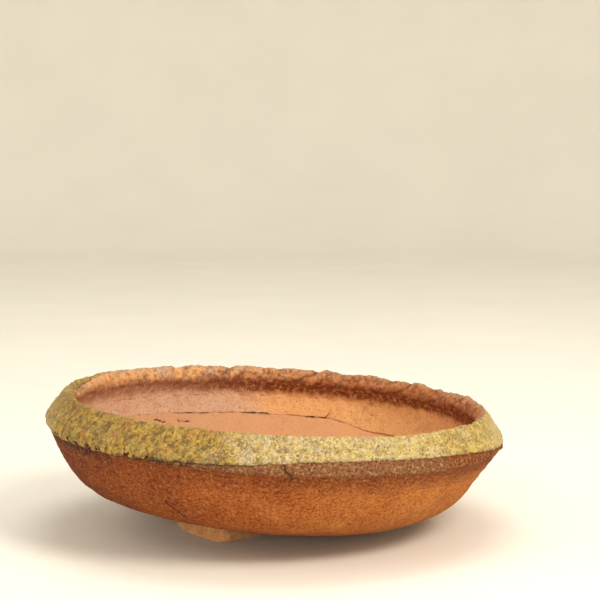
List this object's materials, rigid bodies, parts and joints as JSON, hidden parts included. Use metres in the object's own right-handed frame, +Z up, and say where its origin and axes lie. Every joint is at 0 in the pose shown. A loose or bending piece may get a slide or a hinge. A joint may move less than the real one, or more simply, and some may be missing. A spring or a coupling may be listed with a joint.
{
  "type": "bonsai pot",
  "caption": "Round shallow hand-built stoneware bowl on low clay pads, with a thick pinched rim crusted with ash glaze, a drainage hole and wiring holes.",
  "frame": {"origin": "on the ground, under the middle of the pot's bounding box", "axes": "+Z up; +X towards the side where the leaning rim is lowest; +Y towards the back, where the thumb pinches are strongest"},
  "size_m": [0.3425, 0.3411, 0.1052],
  "materials": {
    "clay": "coarse unglazed stoneware, matt, brown to orange",
    "rim_clay": "coarse unglazed stoneware, matt, pinched",
    "ash_glaze": "rough olive and pale green ash glaze with cream patches and dark pits",
    "foot_clay": "unglazed clay, paler and smoother than the bowl"
  },
  "bodies": {
    "root": {"floor_slab": "clay", "lower_wall": "clay", "upper_wall": "clay", "rim_coil": "rim_clay", "ash_glaze": "ash_glaze", "foot_front_left": "foot_clay", "foot_right": "foot_clay", "foot_back": "foot_clay"}
  },
  "joints": []
}
